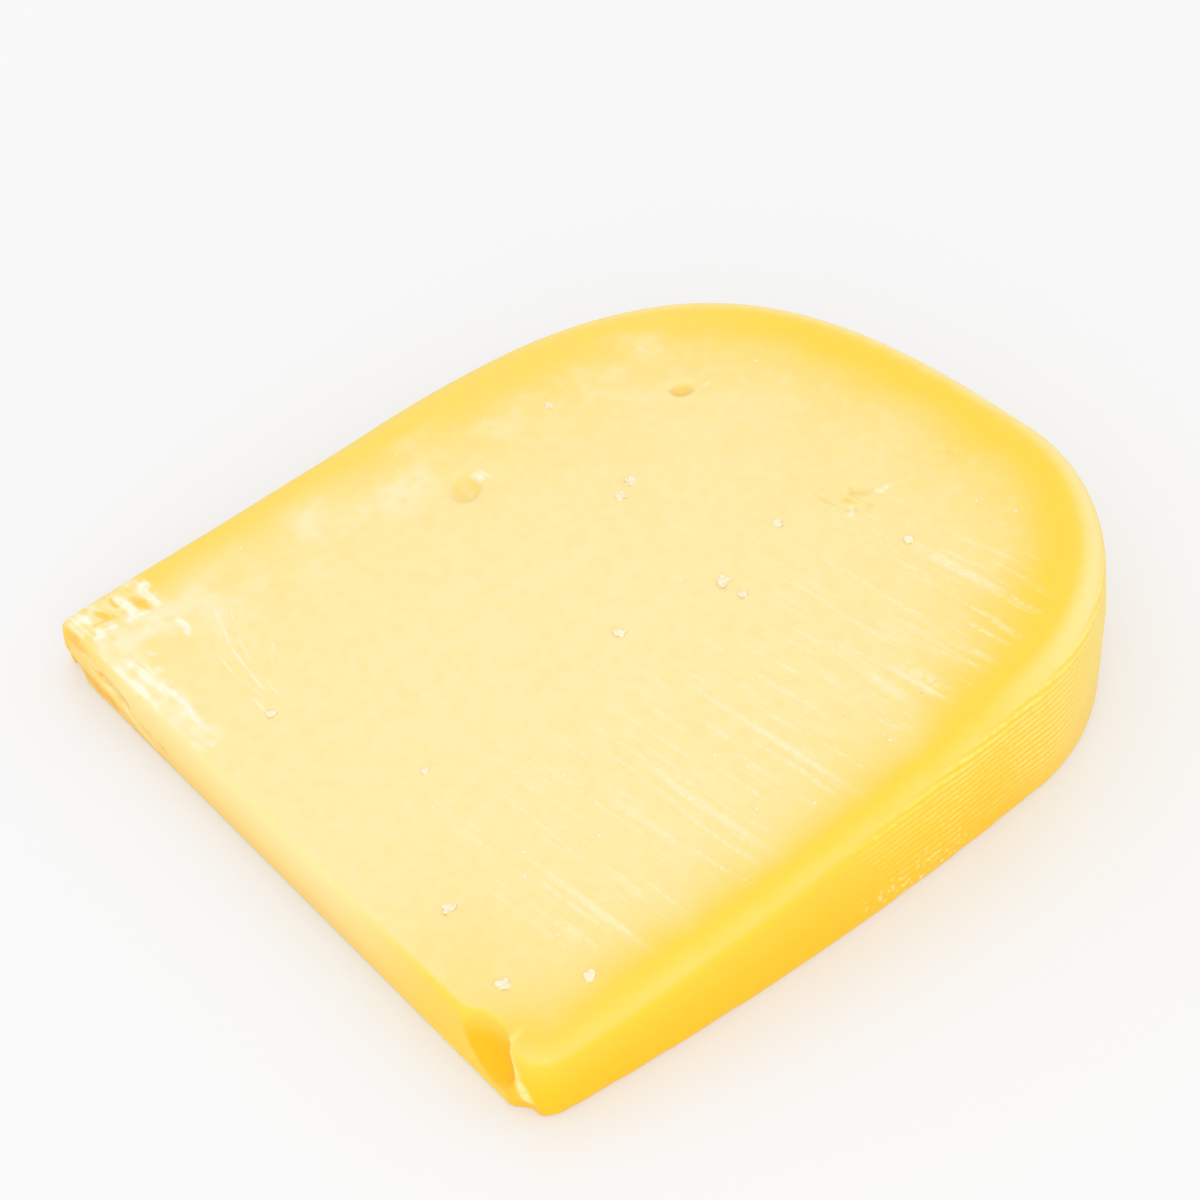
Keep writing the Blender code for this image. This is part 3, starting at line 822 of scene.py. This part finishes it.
# Single grains, and how many more lie scattered:
GRAINS = (
    (30.7, 28.0), (20.1, 31.1), (45.3, 35.0), (48.6, 35.7), (31.4, 46.2), (35.7, 47.7), (27.4, 40.2),
    (-7.3, 44.9), (46.0, 49.5), (26.0, 31.1), (41.5, 44.1), (8.2, 106.0), (38.4, 61.8), (42.8, 64.8),
    (44.3, 62.9), (45.4, 62.8), (38.4, 65.2), (21.9, 52.1),
)
SCATTERED_GRAINS = 14
SCATTER_SEED = 5
GROWTH_SEED = 11
GRAIN_SIZE = 0.53 * MM
GRAIN_ROUGHNESS = 0.10 * MM
SINGLE_SIZE = 0.45     # of a single grain, as a share of a cluster's grains
ABOVE = 40.0           # mm, higher than the cheese
ON_FACE = 0.6          # mm, how far from the plane of the upper face a crystal may lie
CRYSTAL_DULL = "#EBDDB6"
CRYSTAL_PALE = "#EFE5C8"


def crystal_material():
    """Protein crystals: dry, chalky white grains with a faint waxy lustre."""
    material = bpy.data.materials.new("protein_crystals")
    material.use_nodes = True
    tree = material.node_tree
    tree.nodes.clear()
    where = cheese_millimetres(tree)
    mottle = add(tree, "ShaderNodeTexNoise", {"Vector": where, "Scale": 2.0, "Detail": 2.0})
    colour = set_ramp(
        add(tree, "ShaderNodeValToRGB", {"Fac": mottle}), [(0.35, CRYSTAL_DULL), (0.65, CRYSTAL_PALE)]
    )
    grain = add(tree, "ShaderNodeBump", {"Height": mottle, "Distance": 0.03 * MM})
    shader = add(
        tree, "ShaderNodeBsdfPrincipled",
        {
            "Base Color": colour,
            "Roughness": 0.55,
            "IOR": 1.45,
            "Normal": grain,
        },
    )
    add(tree, "ShaderNodeOutputMaterial", {"Surface": shader})
    return material


def crystal_tree():
    """Grows a cluster of rough grains round each given point."""
    tree, given = new_tree(
        "protein_crystals", {"Grain size": "Float", "Roughness": "Float", "Seed": "Int", "Finish": "Material"}
    )
    spread = add(tree, "GeometryNodeInputNamedAttribute", {"Name": "spread"}, data_type="FLOAT")
    grains = add(tree, "GeometryNodeInputNamedAttribute", {"Name": "grains"}, data_type="INT")
    many = add(
        tree, "GeometryNodeDuplicateElements", {"Geometry": given["Geometry"], "Amount": grains}, domain="POINT"
    )
    scatter = add(
        tree, "FunctionNodeRandomValue",
        {0: (-0.9, -0.9, -0.1), 1: (0.9, 0.9, 0.05), "Seed": given["Seed"]}, data_type="FLOAT_VECTOR",
    )
    offset = add(tree, "ShaderNodeVectorMath", {0: scatter, "Scale": spread}, operation="SCALE")
    points = add(tree, "GeometryNodeSetPosition", {"Geometry": many.outputs["Geometry"], "Offset": offset})
    grain = add(tree, "GeometryNodeMeshIcoSphere", {"Radius": 1.0, "Subdivisions": 2})
    turn = add(
        tree, "FunctionNodeRandomValue",
        {0: (-0.4, -0.4, 0.0), 1: (0.4, 0.4, math.tau), "Seed": given["Seed"]}, data_type="FLOAT_VECTOR",
    )
    share = add(
        tree, "FunctionNodeRandomValue",
        {0: (0.9, 0.7, 0.22), 1: (1.5, 1.1, 0.34), "Seed": given["Seed"]}, data_type="FLOAT_VECTOR",
    )
    own = add(tree, "GeometryNodeInputNamedAttribute", {"Name": "size"}, data_type="FLOAT")
    scaled = add(tree, "ShaderNodeMath", {0: own, 1: given["Grain size"]}, operation="MULTIPLY")
    size = add(tree, "ShaderNodeVectorMath", {0: share, "Scale": scaled}, operation="SCALE")
    set_out = add(
        tree, "GeometryNodeInstanceOnPoints",
        {"Points": points, "Instance": grain.outputs["Mesh"], "Rotation": turn, "Scale": size},
    )
    joined = add(tree, "GeometryNodeRealizeInstances", {"Geometry": set_out})
    position = add(tree, "GeometryNodeInputPosition")
    normal = add(tree, "GeometryNodeInputNormal")
    lumps = add(tree, "ShaderNodeTexNoise", {"Vector": position, "Scale": 1.5 / MM, "Detail": 1.0})
    centred = add(tree, "ShaderNodeMath", {0: lumps, 1: 0.5}, operation="SUBTRACT")
    sized = add(tree, "ShaderNodeMath", {0: centred, 1: given["Roughness"]}, operation="MULTIPLY")
    bulge = add(tree, "ShaderNodeVectorMath", {0: normal, "Scale": sized}, operation="SCALE")
    rough = add(tree, "GeometryNodeSetPosition", {"Geometry": joined, "Offset": bulge})
    smooth = add(tree, "GeometryNodeSetShadeSmooth", {"Geometry": rough})
    finished = add(tree, "GeometryNodeSetMaterial", {"Geometry": smooth, "Material": given["Finish"]})
    add(tree, "NodeGroupOutput", {0: finished})
    return tree


def make_crystals(cheese, finish):
    surface = cheese.data
    skin = BVHTree.FromPolygons([v.co for v in surface.vertices], [p.vertices for p in surface.polygons])
    chance = random.Random(SCATTER_SEED)
    wanted = [(x, y, spread, round(4 + 6 * spread)) for x, y, spread in CRYSTALS]
    wanted += [(x, y, 0.0, 1) for x, y in GRAINS]
    for _ in range(SCATTERED_GRAINS):
        wanted.append((chance.uniform(-46, 48), chance.uniform(3, 108), 0.0, 1))
    points, spreads, grains, sizes = [], [], [], []
    for x, y, spread, count in wanted:
        hit = skin.ray_cast(place(x, y, ABOVE), Vector((0.0, 0.0, -1.0)))[0]
        # None grow in the holes or on the rounded edges.
        if hit and abs(hit.z / MM - upper_face(x, y)) < ON_FACE:
            points.append(hit)
            spreads.append(spread * MM * 0.75)
            grains.append(count)
            sizes.append(1.0 if spread else SINGLE_SIZE)
    mesh = bpy.data.meshes.new("crystals")
    mesh.from_pydata(points, [], [])
    mesh.attributes.new("spread", "FLOAT", "POINT").data.foreach_set("value", spreads)
    mesh.attributes.new("grains", "INT", "POINT").data.foreach_set("value", grains)
    mesh.attributes.new("size", "FLOAT", "POINT").data.foreach_set("value", sizes)
    crystals = bpy.data.objects.new("crystals", mesh)
    bpy.context.scene.collection.objects.link(crystals)
    growth = crystals.modifiers.new("growth", "NODES")
    growth.node_group = crystal_tree()
    set_input(growth, "Grain size", GRAIN_SIZE)
    set_input(growth, "Roughness", GRAIN_ROUGHNESS)
    set_input(growth, "Seed", GROWTH_SEED)
    set_input(growth, "Finish", finish)
    return to_plain_mesh(crystals)


# ---------------------------------------------------------------- stage, light and camera

CAMERA_AZIMUTH = math.radians(51.107)
CAMERA_ELEVATION = math.radians(42.424)
CAMERA_ROLL = math.radians(-1.223)
CAMERA_DISTANCE = 381.2 * MM
CAMERA_AIM = place(-13.66, 64.6)
CAMERA_LENS = 80.61   # mm, on a sensor 36 mm wide
SKY_STRENGTH = 1.09
PANEL_WATTS = 1.9
FLOOR_GLOW = 0.27


def make_floor():
    bm = bmesh.new()
    bmesh.ops.create_grid(bm, x_segments=1, y_segments=1, size=3.0)
    mesh = bpy.data.meshes.new("floor")
    bm.to_mesh(mesh)
    bm.free()
    floor = bpy.data.objects.new("floor", mesh)
    bpy.context.scene.collection.objects.link(floor)
    material = bpy.data.materials.new("plain_white_table")
    material.use_nodes = True
    tree = material.node_tree
    tree.nodes.clear()
    shader = add(
        tree, "ShaderNodeBsdfPrincipled",
        {
            "Base Color": linear("#C4C4C4"),
            "Roughness": 0.3,
            "Emission Color": linear("#FDFDFF"),
            "Emission Strength": FLOOR_GLOW,
        },
    )
    add(tree, "ShaderNodeOutputMaterial", {"Surface": shader})
    mesh.materials.append(material)


def make_light():
    world = bpy.data.worlds.new("white_studio")
    bpy.context.scene.world = world
    world.use_nodes = True
    tree = world.node_tree
    tree.nodes.clear()
    sky = add(tree, "ShaderNodeBackground", {"Color": linear("#FFFFFF"), "Strength": SKY_STRENGTH})
    add(tree, "ShaderNodeOutputWorld", {"Surface": sky})
    panel = bpy.data.lights.new("soft_panel", "AREA")
    panel.shape = "RECTANGLE"
    panel.size, panel.size_y = 0.8, 0.6
    panel.energy = PANEL_WATTS
    lamp = bpy.data.objects.new("soft_panel", panel)
    stand = place(560, -430, 420)
    aim = (place(0, 50, 10) - stand).to_track_quat("-Z", "Y")
    lamp.matrix_world = Matrix.LocRotScale(stand, aim, None)
    bpy.context.scene.collection.objects.link(lamp)


def make_camera():
    lens = bpy.data.cameras.new("camera")
    lens.lens = CAMERA_LENS
    lens.sensor_width = 36
    camera = bpy.data.objects.new("camera", lens)
    level = math.cos(CAMERA_ELEVATION)
    back = Vector((
        math.sin(CAMERA_AZIMUTH) * level, -math.cos(CAMERA_AZIMUTH) * level, math.sin(CAMERA_ELEVATION),
    ))
    turned = back.to_track_quat("Z", "Y") @ Matrix.Rotation(CAMERA_ROLL, 3, "Z").to_quaternion()
    camera.matrix_world = Matrix.LocRotScale(CAMERA_AIM + back * CAMERA_DISTANCE, turned, None)
    bpy.context.scene.collection.objects.link(camera)
    bpy.context.scene.camera = camera


def set_tones():
    """Plain tones, with no film curve."""
    settings = bpy.context.scene.view_settings
    settings.view_transform = "Standard"
    settings.look = "None"


make_camera()
cheese = make_cheese(cheese_material())
crystals = make_crystals(cheese, crystal_material())
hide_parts("cheese_wedge")
for piece in (cheese, crystals):
    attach(piece, "root")
make_floor()
make_light()
set_tones()
